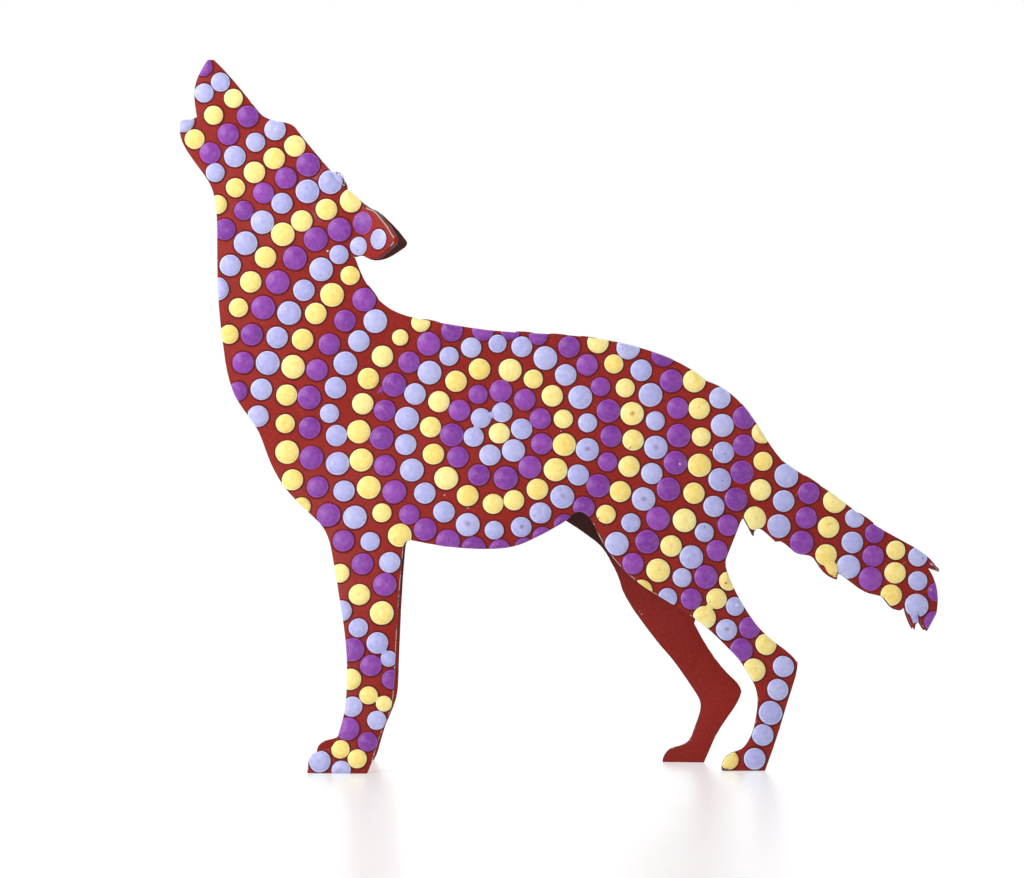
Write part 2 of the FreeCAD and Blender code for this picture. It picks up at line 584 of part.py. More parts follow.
def lay_dabs(side, centres, loops, blank):
    """Solids of one plate's dabs, grouped by region and colour."""
    centre_x, centre_z = float(sizes.ring_centre_x), float(sizes.ring_centre_z)
    dabs = []
    for ring, bearing, reach, radius in centres:
        x = centre_x + reach * math.cos(math.radians(bearing))
        z = centre_z + reach * math.sin(math.radians(bearing))
        if max(distance_inside(x, z, loop) for loop in loops) > -0.6 * radius:
            dabs.append([x, z, radius, COLOURS[ring % 3]])
    spread_out(dabs)
    air = ear_air(side)
    groups = {}
    for x, z, radius, colour in dabs:
        crosses_edge = max(distance_inside(x, z, loop) for loop in loops) < radius + 0.1
        solid = dab_solid(x, z, radius, side, air, blank if crosses_edge else None)
        if solid is not None:
            groups.setdefault(f"{region(x, z)}_{colour}", []).append(solid)
    return groups


def ear_loop(side):
    """The bent ear's outline as seen along y, for placing dabs on it."""
    angle = ear_angle(side)
    shrink = math.cos(angle)
    loop = discretised(EAR_OUTLINE)
    foot_z = float(sizes.ear_foot_z)
    return [(float(sizes.ear_hinge_x) + a * shrink + 1.3 * (1 - shrink), foot_z + b)
            for a, b in loop]


def facetted(loop, side):
    """The space outside a plate within an outline, with flat walls, for cutting dabs off."""
    corners = [Vector(x, 0, z) for x, z in loop]
    face = Part.Face(Part.makePolygon(corners + corners[:1]))
    return face.extrude(Vector(0, side * float(sizes.blank_depth), 0))


nodes = [near_plate, far_plate, tack_welds]
for side_name, side, runs in [("near", NEAR, NEAR_OUTLINE), ("far", FAR, FAR_OUTLINE)]:
    centres = near_centres() if side == NEAR else far_centres(random.Random(12))
    loops = [discretised(runs), ear_loop(side)]
    blank = facetted(loops[0], side).fuse(facetted(loops[1], side))
    groups = lay_dabs(side, centres, loops, blank)
    for name, solids in sorted(groups.items()):
        group = doc.addObject("Part::Feature", f"{side_name}_{name}")
        group.Shape = Part.makeCompound(solids)
        group.Placement = Placement()
        group.Label = f"{side_name}_{name}"
        nodes.append(group)

# ---------------------------------------------------------------- checks and export
doc.recompute()
for item in doc.Objects:
    if "Invalid" in item.State or "Error" in item.State:
        raise RuntimeError(f"{item.Label}: {item.State}")
for node in nodes:
    if node.Shape.isNull() or not node.Shape.isValid():
        raise RuntimeError(f"{node.Label}: not a valid shape")
    if not node.Shape.Solids:
        raise RuntimeError(f"{node.Label}: no solid")
    for solid in node.Shape.Solids:
        if not solid.isValid() or not solid.isClosed():
            raise RuntimeError(f"{node.Label}: a solid is not sound")
for plate in (near_plate, far_plate):
    if len(plate.Shape.Solids) != 1:
        raise RuntimeError(f"{plate.Label}: {len(plate.Shape.Solids)} solids")
for node in nodes:
    node.Shape.exportStep(f"parts/{node.Label}.step")
    box = node.Shape.optimalBoundingBox()
    print(f"{node.Label}: {len(node.Shape.Solids)} solids, {node.Shape.Volume:.1f} mm3, "
          f"x {box.XMin:.1f}..{box.XMax:.1f}, y {box.YMin:.1f}..{box.YMax:.1f}, "
          f"z {box.ZMin:.1f}..{box.ZMax:.1f}")
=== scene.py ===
import math
import random
from collections import namedtuple

import bmesh
import bpy
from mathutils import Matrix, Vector, geometry, noise
from mathutils.bvhtree import BVHTree


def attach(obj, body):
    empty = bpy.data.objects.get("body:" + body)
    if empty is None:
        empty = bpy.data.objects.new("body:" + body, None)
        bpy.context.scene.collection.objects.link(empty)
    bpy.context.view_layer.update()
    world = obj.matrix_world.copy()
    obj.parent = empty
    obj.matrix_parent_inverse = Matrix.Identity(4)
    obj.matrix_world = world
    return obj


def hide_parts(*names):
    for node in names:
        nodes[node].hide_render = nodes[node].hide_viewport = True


# Howling coyote of two painted steel plates, dotted with dabs of acrylic paint.
# Lengths are in metres, and in mm where a comment says so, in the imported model's frame: +Z up,
# -Y towards the camera, and x and z along and up the animal's profile.

MM = 0.001
UP = Vector((0, 0, 1))
AWAY = Vector((0, 1, 0))        # from the camera into the picture
BEFORE = -0.1                   # y of a place well in front of the figure
NEAR, FAR = -1, 1               # the side of a plate, and the sign of y there
COLOURS = ("yellow", "blue", "purple")

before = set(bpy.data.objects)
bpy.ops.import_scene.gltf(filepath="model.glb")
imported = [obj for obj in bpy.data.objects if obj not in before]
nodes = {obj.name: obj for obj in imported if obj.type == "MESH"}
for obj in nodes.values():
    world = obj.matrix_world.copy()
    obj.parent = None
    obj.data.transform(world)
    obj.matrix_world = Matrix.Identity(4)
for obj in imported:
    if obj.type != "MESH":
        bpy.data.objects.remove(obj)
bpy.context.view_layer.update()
scene = bpy.context.scene


# ---------------------------------------------------------------- node helpers
class Tree:
    """A material's node tree, built by short calls."""

    def __init__(self, name):
        self.material = bpy.data.materials.new(name)
        self.material.use_nodes = True
        self.nodes = self.material.node_tree.nodes
        self.links = self.material.node_tree.links
        self.shader = self.nodes["Principled BSDF"]
        self.place = self.add("ShaderNodeTexCoord").outputs["Object"]

    def add(self, kind, **values):
        node = self.nodes.new(kind)
        for key, value in values.items():
            setattr(node, key, value)
        return node

    def feed(self, socket, value):
        if isinstance(value, bpy.types.NodeSocket):
            self.links.new(value, socket)
        else:
            socket.default_value = value

    def noise(self, scale, detail=2.0, roughness=0.5, distortion=0.0, offset=(0, 0, 0)):
        mapping = self.add("ShaderNodeMapping")
        self.links.new(self.place, mapping.inputs["Vector"])
        mapping.inputs["Location"].default_value = offset
        texture = self.add("ShaderNodeTexNoise")
        self.links.new(mapping.outputs["Vector"], texture.inputs["Vector"])
        texture.inputs["Scale"].default_value = scale
        texture.inputs["Detail"].default_value = detail
        texture.inputs["Roughness"].default_value = roughness
        texture.inputs["Distortion"].default_value = distortion
        return texture.outputs["Fac"]

    def math(self, operation, a, b=0.0, clamp=False):
        node = self.add("ShaderNodeMath", operation=operation, use_clamp=clamp)
        self.feed(node.inputs[0], a)
        self.feed(node.inputs[1], b)
        return node.outputs[0]

    def rise(self, value, low, high, start=0.0, end=1.0):
        """A smooth step of value from start at low to end at high."""
        node = self.add("ShaderNodeMapRange", interpolation_type="SMOOTHSTEP")
        self.feed(node.inputs["Value"], value)
        node.inputs["From Min"].default_value = low
        node.inputs["From Max"].default_value = high
        node.inputs["To Min"].default_value = start
        node.inputs["To Max"].default_value = end
        return node.outputs["Result"]

    def mix(self, share, a, b):
        node = self.add("ShaderNodeMix", data_type="RGBA")
        self.feed(node.inputs["Factor"], share)
        for socket, value in ((node.inputs["A"], a), (node.inputs["B"], b)):
            if isinstance(value, tuple):
                value = (*value, 1.0)
            self.feed(socket, value)
        return node.outputs["Result"]

    def cells(self, scale):
        """Points scattered over the figure's profile: distance from the nearest, two numbers."""
        split = self.add("ShaderNodeSeparateXYZ")
        self.links.new(self.place, split.inputs[0])
        flat = self.add("ShaderNodeCombineXYZ")
        self.links.new(split.outputs["X"], flat.inputs["X"])
        self.links.new(split.outputs["Z"], flat.inputs["Y"])
        texture = self.add("ShaderNodeTexVoronoi", voronoi_dimensions="2D")
        self.links.new(flat.outputs[0], texture.inputs["Vector"])
        texture.inputs["Scale"].default_value = scale
        number = self.add("ShaderNodeSeparateColor")
        self.links.new(texture.outputs["Color"], number.inputs["Color"])
        distance = self.math("DIVIDE", texture.outputs["Distance"], scale)
        return distance, number.outputs["Red"], number.outputs["Green"]

    def near_to(self, x, y, z, reach):
        """One at a point of the figure, falling to nothing at reach from it."""
        node = self.add("ShaderNodeVectorMath", operation="DISTANCE")
        self.links.new(self.place, node.inputs[0])
        node.inputs[1].default_value = (x, y, z)
        return self.rise(node.outputs["Value"], reach, 0.0)

    def attribute(self, name):
        node = self.add("ShaderNodeAttribute", attribute_name=name)
        split = self.add("ShaderNodeSeparateColor")
        self.links.new(node.outputs["Color"], split.inputs["Color"])
        return (split.outputs["Red"], split.outputs["Green"], split.outputs["Blue"],
                node.outputs["Alpha"])

    def along(self, axis):
        """The place along one axis of the figure."""
        split = self.add("ShaderNodeSeparateXYZ")
        self.links.new(self.place, split.inputs[0])
        return split.outputs[axis]

    def bump(self, height, distance, strength=1.0, onto=None):
        node = self.add("ShaderNodeBump")
        node.inputs["Strength"].default_value = strength
        node.inputs["Distance"].default_value = distance
        self.links.new(height, node.inputs["Height"])
        if onto is not None:
            self.links.new(onto, node.inputs["Normal"])
        return node.outputs["Normal"]


# ---------------------------------------------------------------- materials
RED_DEEP, RED_LIGHT = (0.255, 0.0120, 0.0072), (0.285, 0.0145, 0.0088)
RED_MOTTLE, RED_GLINT, RED_PIT = (0.20, 0.008, 0.005), (0.44, 0.042, 0.028), (0.12, 0.005, 0.003)
MAUVE, PAINTED_SHADE, CUT_EDGE = (0.36, 0.085, 0.115), (0.042, 0.009, 0.006), (0.10, 0.007, 0.005)
DULL_STEEL, BRIGHT_STEEL_AND_HIGHLIGHT = (0.15, 0.14, 0.13), (0.48, 0.43, 0.39)
SMEARS = ((-0.0578, -0.0015, 0.1400, 0.0055), (-0.0574, -0.0015, 0.1330, 0.0045))  # place, reach
DARK_FORE, DARK_HIND = (0.031, 0.053), (0.044, 0.056)   # heights over which the painted shade inside grows to full
DARKEST = 0.92


def inner_shade(t, inner):
    """How much painted shade darkens the colour between the plates. It starts higher between the
    hind legs, where light reaches higher.
    """
    height = t.along("Z")
    fore = t.math("MULTIPLY", t.rise(t.along("X"), 0.0, -0.02),
                  t.rise(height, *DARK_FORE, 0.0, DARKEST))
    deep = t.math("MAXIMUM", fore, t.rise(height, *DARK_HIND, 0.0, DARKEST))
    return t.math("MULTIPLY", inner, deep)


def crown_smear(t):
    """The mauve smear on the red beside the crown."""
    patches = t.noise(300, detail=3, roughness=0.7, distortion=0.6)
    where = t.math("MAXIMUM", *(t.near_to(*smear) for smear in SMEARS))
    return t.math("MULTIPLY", where, t.rise(patches, 0.35, 0.62, 0.0, 0.9))


def red_paint():
    """Brick-red paint on steel: fine grain, grey metal on worn edges, bright steel and painted
    highlights along the rounded edges, a mauve smear at the crown.
    Deep between the plates the colour is darkened with painted shade."""
    t = Tree("red_paint")
    corner, wall, worn, inner = t.attribute("zone")
    cloud = t.noise(28, detail=3)
    grain = t.noise(2300, detail=2, roughness=0.75)
    mottle = t.noise(420, detail=3, roughness=0.6)
    colour = t.mix(t.rise(cloud, 0.35, 0.65), RED_DEEP, RED_LIGHT)
    colour = t.mix(t.rise(mottle, 0.45, 0.75, 0.0, 0.25), colour, RED_MOTTLE)
    colour = t.mix(t.rise(grain, 0.53, 0.74, 0.0, 0.50), colour, RED_GLINT)
    colour = t.mix(t.rise(grain, 0.47, 0.27, 0.0, 0.60), colour, RED_PIT)
    colour = t.mix(crown_smear(t), colour, MAUVE)
    # painted shade: the inner faces between the plates turn dark towards the top
    colour = t.mix(inner_shade(t, inner), colour, PAINTED_SHADE)
    colour = t.mix(t.math("MULTIPLY", wall, 0.55), colour, CUT_EDGE)
    chips = t.noise(420, detail=4, roughness=0.7, offset=(0.3, 0.1, 0.7))
    rubbed = t.math("ADD", chips, t.math("MULTIPLY", worn, 0.28))
    scraped = t.math("MULTIPLY", wall, t.rise(rubbed, 0.72, 0.76, 0.0, 0.8))
    colour = t.mix(scraped, colour, DULL_STEEL)
    # bare steel where the rounded edges are worn, partly a painted highlight along them
    bare = t.math("MULTIPLY", corner, t.rise(rubbed, 0.60, 0.68))
    colour = t.mix(bare, colour, BRIGHT_STEEL_AND_HIGHLIGHT)
    t.feed(t.shader.inputs["Base Color"], colour)
    t.feed(t.shader.inputs["Metallic"], t.math("MULTIPLY", scraped, 0.6))
    t.feed(t.shader.inputs["Roughness"], t.rise(mottle, 0.3, 0.7, 0.50, 0.58))
    t.shader.inputs["Specular IOR Level"].default_value = 0.22
    normal = t.bump(grain, 0.02 * MM, 0.6)
    normal = t.bump(mottle, 0.03 * MM, 0.5, onto=normal)
    t.feed(t.shader.inputs["Normal"], normal)
    return t.material


DAB_PAINTS = {          # deep tone, light tone, painted rim highlight, stain in the middle, share with bubbles
    "yellow": ((0.95, 0.69, 0.155), (1.00, 0.87, 0.36), (1.00, 0.97, 0.44), (0.66, 0.36, 0.07),
               0.10),
    "blue": ((0.39, 0.39, 0.75), (0.52, 0.53, 0.83), (0.60, 0.68, 1.00), (0.27, 0.20, 0.33),
             0.14),
    "purple": ((0.190, 0.028, 0.305), (0.305, 0.064, 0.430), (0.350, 0.090, 0.520),
               (0.11, 0.020, 0.16), 0.50),
}
# painted shade: the dark red ring round each dab's foot
SHADE_RING_DARK, SHADE_RING_PALE = (0.115, 0.001, 0.001), (0.165, 0.002, 0.002)
OUTLINE = 0.80          # "dab_paint" green: up to this over the dome, 1 on the ring of painted shade at its foot
RIM_HIGHLIGHT = (0.70, 0.74)      # where on the dome the painted rim highlight starts
BUBBLE_CELLS = 330      # places for a bubble to a metre


def bubbles(t, radial, bubbly):
    """Burst bubbles of several sizes over a share of the dome, clear of its rim."""
    distance, number, size = t.cells(BUBBLE_CELLS)
    chosen = t.rise(number, bubbly + 0.005, bubbly - 0.005)
    distance = t.math("DIVIDE", distance, t.rise(size, 0.0, 1.0, 0.6, 1.7))
    bubble = t.math("MULTIPLY", chosen, t.rise(distance, 0.26 * MM, 0.08 * MM))
    return t.math("MULTIPLY", bubble, t.rise(radial, 0.66, 0.56))


def dab_paint(colour):
    """Thick acrylic: satin skin with a painted highlight round the rim, faint ripples, bubbles and
    stained middles.
    """
    deep, light, rim, stain, bubbly = DAB_PAINTS[colour]
    t = Tree(colour + "_paint")
    tone, radial, spot, _ = t.attribute("dab_paint")
    mottle = t.noise(900, detail=3, roughness=0.6)
    fine = t.noise(4200, detail=2, roughness=0.6)
    cloud = t.noise(330, detail=2)
    share = t.math("ADD", t.math("MULTIPLY", tone, 0.62), t.rise(mottle, 0.3, 0.7, -0.16, 0.48),
                   clamp=True)
    base = t.mix(share, deep, light)
    uneven = t.math("ADD", radial, t.rise(mottle, 0.2, 0.8, -0.03, 0.03))
    # painted highlight: a paler rim round each dome
    base = t.mix(t.rise(uneven, *RIM_HIGHLIGHT, 0.0, 0.90), base, rim)
    uneven = t.math("ADD", radial, t.rise(mottle, 0.2, 0.8, -0.07, 0.07))
    base = t.mix(t.math("MULTIPLY", t.rise(uneven, 0.27, 0.04), spot), base, stain)
    bubble = bubbles(t, radial, bubbly)
    base = t.mix(t.math("MULTIPLY", bubble, 0.45), base, stain)
    # painted shade: a dark red ring round each dab's foot
    ring = t.rise(radial, OUTLINE - 0.016, OUTLINE + 0.004)
    base = t.mix(ring, base, t.mix(mottle, SHADE_RING_DARK, SHADE_RING_PALE))
    t.feed(t.shader.inputs["Base Color"], base)
    satin = t.rise(cloud, 0.3, 0.7, 0.34, 0.46)
    t.feed(t.shader.inputs["Roughness"], t.math("MAXIMUM", satin, t.math("MULTIPLY", ring, 0.9)))
    t.shader.inputs["IOR"].default_value = 1.45
    t.shader.inputs["Coat Weight"].default_value = 0.16
    t.shader.inputs["Coat Roughness"].default_value = 0.18
    ripple = t.math("SINE", t.math("ADD", t.math("MULTIPLY", radial, 62.0),
                                   t.math("MULTIPLY", cloud, 9.0)))
    normal = t.bump(fine, 0.012 * MM, 0.6)
    normal = t.bump(ripple, 0.030 * MM, 0.7, onto=normal)
    normal = t.bump(mottle, 0.035 * MM, 0.5, onto=normal)
    normal = t.bump(t.math("SUBTRACT", 1.0, bubble), 0.10 * MM, 0.9, onto=normal)
    t.feed(t.shader.inputs["Normal"], normal)
    return t.material


MARK_GRIME = (0.10, 0.012, 0.012)
TABLE_DEEP, TABLE_LIGHT = (0.24, 0.24, 0.24), (0.27, 0.27, 0.27)


def mark_paint():
    """Specks, crumbs and nicks, each of its own colour."""
    t = Tree("speck_paint")
    colour = t.add("ShaderNodeAttribute", attribute_name="mark").outputs["Color"]
    mottle = t.noise(2600, detail=3, roughness=0.7)
    t.feed(t.shader.inputs["Base Color"],
           t.mix(t.rise(mottle, 0.4, 0.7, 0.0, 0.4), colour, MARK_GRIME))
    t.feed(t.shader.inputs["Roughness"], t.rise(mottle, 0.3, 0.7, 0.35, 0.6))
    t.feed(t.shader.inputs["Normal"], t.bump(mottle, 0.02 * MM, 0.6))
    return t.material


def floor_paint():
    """Back-lit white acrylic sheet with a satin face."""
    t = Tree("white_table")
    cloud = t.noise(9, detail=2)
    t.feed(t.shader.inputs["Base Color"], t.mix(cloud, TABLE_DEEP, TABLE_LIGHT))
    t.feed(t.shader.inputs["Roughness"], t.rise(cloud, 0.3, 0.7, 0.25, 0.29))
    t.shader.inputs["Specular IOR Level"].default_value = 0.35
    t.shader.inputs["Emission Color"].default_value = (1.0, 1.0, 1.0, 1.0)
    t.shader.inputs["Emission Strength"].default_value = 0.55
    return t.material


PAINT = {colour: dab_paint(colour) for colour in COLOURS}
RED = red_paint()


# ---------------------------------------------------------------- shared mesh helpers
def welded(mesh, gap=2e-6, sliver=1e-7):
    """The CAD node's mesh with its split vertices joined and its slivers gone, in a bmesh."""
    bm = bmesh.new()
    bm.from_mesh(mesh)
    bmesh.ops.remove_doubles(bm, verts=bm.verts, dist=gap)
    bmesh.ops.dissolve_degenerate(bm, dist=sliver, edges=bm.edges)
    bm.normal_update()
    return bm


def islands(bm):
    """The faces of each separate solid."""
    seen, groups = set(), []
    for start in bm.faces:
        if start in seen:
            continue
        seen.add(start)
        group, queue = [], [start]
        while queue:
            face = queue.pop()
            group.append(face)
            for edge in face.edges:
                for other in edge.link_faces:
                    if other not in seen:
                        seen.add(other)
                        queue.append(other)
        groups.append(group)
    return groups


def painted_mesh(layer_name):
    """An empty bmesh, and the layer that tells its material about each vertex."""
    bm = bmesh.new()
    return bm, bm.verts.layers.float_color.new(layer_name)


def smoothed(bm):
    """Shade all faces smooth."""
    for face in bm.faces:
        face.smooth = True


def new_piece(name, bm, material, slot, *replaced):
    """A piece from a finished bmesh, riding on the figure in place of CAD nodes."""
    mesh = bpy.data.meshes.new(name)
    bm.to_mesh(mesh)
    bm.free()
    piece = bpy.data.objects.new(name, mesh)
    scene.collection.objects.link(piece)
    mesh.materials.append(material)
    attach(piece, "root")
    if replaced:
        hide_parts(*replaced)
    return piece


# ---------------------------------------------------------------- plates
EDGE_ROUND = 0.16 * MM
CUT_ANGLE = math.radians(50)    # an edge sharper than this was cut, and is rounded
CREASE_ANGLE = math.radians(32)     # an edge sharper than this stays a crease in the shading
WALL_TILT = 0.55                # a cut edge has a face that looks less than this towards y
PLATE_WELD = 8e-6               # points of a plate's mesh closer than this are one
FACE_ON = 0.5                   # a plate's broad face looks at least this much along y
EAR_HINGE_X = -49.3 * MM        # a smooth bend, with nothing there to round
WORN_EDGES = (                  # x, z at both ends and reach in mm, and how far worn to the steel
    (-45.2, 133.6, -39.0, 125.6, 1.6, 1.0),
    (-39.0, 125.6, -41.5, 120.5, 1.2, 0.6),
    (8.8, 55.8, 11.7, 50.7, 1.4, 0.9),
    (11.7, 50.7, 18.2, 44.7, 1.4, 1.0),
    (18.2, 44.7, 23.2, 41.2, 1.4, 0.9),
    (-37.4, 54.0, -38.6, 46.0, 1.2, 0.55),
    (-38.6, 46.0, -39.6, 35.0, 1.2, 0.85),
    (-39.2, 30.3, -40.0, 15.0, 1.2, 0.8),
    (-41.6, 10.4, -44.4, 2.1, 1.2, 0.85),
    (-61.5, 0.0, -59.5, 1.2, 1.2, 1.0),
    (38.0, 0.0, 40.0, 1.2, 1.2, 0.9),
    (88.0, 49.0, 91.5, 46.5, 1.2, 0.9),
)
PLATE_SHAPES = {}               # each plate's sharp shape, to lay paint on, by side


def held(value):
    """A value kept between 0 and 1."""
    return max(0.0, min(1.0, value))


def wear_at(point):
    """How far the edge at a point is worn: 0 is sound paint, 1 is bare steel."""
    most = 0.0
    for ax, az, bx, bz, reach, depth in WORN_EDGES:
        a, b = Vector((ax, az)) * MM, Vector((bx, bz)) * MM
        p = Vector((point.x, point.z))
        share = held((p - a).dot(b - a) / (b - a).length_squared)
        gap = (p - a - (b - a) * share).length
        most = max(most, depth * held(2 * (1 - gap / (reach * MM))))
    return most


def steel_plate(node, side):
    """A plate with softly rounded cut edges, in place of the sharp CAD plate."""
    bm = welded(nodes[node].data, PLATE_WELD, PLATE_WELD)
    PLATE_SHAPES[side] = BVHTree.FromBMesh(bm)
    sharp = [e for e in bm.edges if len(e.link_faces) == 2
             and e.calc_face_angle(0.0) > CUT_ANGLE
             and max(abs(v.co.x - EAR_HINGE_X) for v in e.verts) > 0.02 * MM
             and min(abs(f.normal.y) for f in e.link_faces) < WALL_TILT]
    made = bmesh.ops.bevel(bm, geom=sharp, offset=EDGE_ROUND, segments=2, profile=0.5,
                           affect="EDGES", clamp_overlap=False)
    corners = set(made["faces"])
    zone = bm.loops.layers.float_color.new("zone")
    for face in bm.faces:
        corner = 1.0 if face in corners else 0.0
        wall = 1.0 if face in corners or abs(face.normal.y) < FACE_ON else 0.0
        inner = 1.0 if face.normal.y * side < -FACE_ON and not corner else 0.0
        for loop in face.loops:
            worn = wear_at(loop.vert.co) if wall and side == NEAR else 0.0
            loop[zone] = (corner, wall, worn, inner)
        face.smooth = True
    for edge in bm.edges:
        if len(edge.link_faces) == 2 and edge.calc_face_angle(0.0) > CREASE_ANGLE:
            edge.smooth = False
    return new_piece(f"{node}_steel", bm, RED, "red_paint", node)


steel_plate("near_plate", NEAR)
steel_plate("far_plate", FAR)


# ---------------------------------------------------------------- dabs of paint
RADIAL = (0.10, 0.20, 0.32, 0.45, 0.58, 0.70, 0.80, 0.88, 0.94, 0.98, 1.0)  # a dome's rows
AROUND = 44       # points on each row
SHOULDER = 0.7                  # the power that rounds a dome off towards its rim
RIPPLES = 14                    # turn of the ripples from the middle to the rim, radians
LUMP_RISE, LUMP_SIZE = 0.030 * MM, 0.9 * MM     # soft lumps all over a dome
WAVE, WAVE_PACE = 0.022, 1.3    # how much and how fast the outline wavers round a dome
OFF_RIM = 0.012 * MM            # the ring of painted shade starts this far outside the dome
SKIRT = 0.07 * MM               # how far a dab's rim goes below the plate's face
FILM = 0.015 * MM               # thickness of the thin sheet round a dab's foot that carries its ring of painted shade; the dome stands on it too
RING_WAVE = 0.3                 # how much the width of the ring of painted shade wavers
RING_SHARES = (1.0, 0.75, 0.5, 0.25)    # widths to try for the ring near a plate's edge
PROBE = 0.5 * MM                # the ring looks for the plate from this high, and as far below
STAINED = (                     # near dabs with a dark middle: x, z in mm and how dark
    (17.0, 85.0, 1.0), (6.2, 75.9, 0.9), (23.0, 76.3, 0.7), (20.4, 64.0, 0.7), (1.0, 64.6, 0.8),
    (-21.6, 58.6, 0.8), (-10.3, 57.4, 0.9), (-52.0, 60.0, 0.4), (35.5, 35.2, 0.8),
    (39.9, 32.6, 0.8), (23.9, 46.9, 0.25), (29.9, 58.8, 0.3),
)
EAR_DABS = (                    # near ear: x, z in mm, how much wider and taller than the foot
    (-47.2, 130.3, 1.62, 1.40), (-43.4, 126.2, 1.44, 1.28), (-48.2, 124.7, 1.30, 1.17),
)
EVEN_DAB = (-50.3, 135.5)       # the near dab whose outline loses a dent: x, z in mm
FIND, FIND_EAR = 1.4, 1.0       # how far in mm a dab may be from such a place and still be it
Way = namedtuple("Way", "out wave reach rim leaning")   # one direction from a dab's middle


def foot_of(faces, outward):
    """The faces that a dab stands on, and the direction it stands in."""
    axis = outward
    for limit in (0.5, 0.8):
        foot = [f for f in faces if f.normal.dot(axis) < -limit]
        total = sum((f.normal * f.calc_area() for f in foot), Vector())
        axis = -total.normalized()
    return foot, axis


def rim_of(foot):
    """The foot's outline as a loop of points."""
    shared = {}
    for face in foot:
        for edge in face.edges:
            shared[edge] = shared.get(edge, 0) + 1
    follow = {}
    for edge, count in shared.items():
        if count == 1:
            for vert in edge.verts:
                follow.setdefault(vert, []).append(edge)
    loops = []
    unused = set(follow)
    while unused:
        vert = unused.pop()
        loop, edge = [vert.co.copy()], follow[vert][0]
        while True:
            vert = edge.other_vert(vert)
            if vert not in unused:
                break
            unused.discard(vert)
            loop.append(vert.co.copy())
            ways = [e for e in follow[vert] if e is not edge]
            if not ways:
                break
            edge = ways[0]
        loops.append(loop)
    return max(loops, key=len)


def reach_along(loop, angle):
    """Distance from the centre to the outline along an angle, and the outline's height there."""
    dx, dy = math.cos(angle), math.sin(angle)
    best = None
    for (ax, ay, ah), (bx, by, bh) in zip(loop, loop[1:] + loop[:1]):
        ex, ey = bx - ax, by - ay
        cross = dx * ey - dy * ex
        if abs(cross) < 1e-16:
            continue
        along = (ax * ey - ay * ex) / cross
        share = (ax * dy - ay * dx) / cross
        if along > 0 and -1e-6 <= share <= 1 + 1e-6 and (best is None or along < best[0]):
            best = (along, ah + (bh - ah) * share)
    return best


def centroid(flat):
    """The middle of the area inside an outline."""
    twice = cx = cy = 0.0
    for (ax, ay, _), (bx, by, _) in zip(flat, flat[1:] + flat[:1]):
        cross = ax * by - bx * ay
        twice += cross
        cx += (ax + bx) * cross
        cy += (ay + by) * cross
    return cx / (3 * twice), cy / (3 * twice)


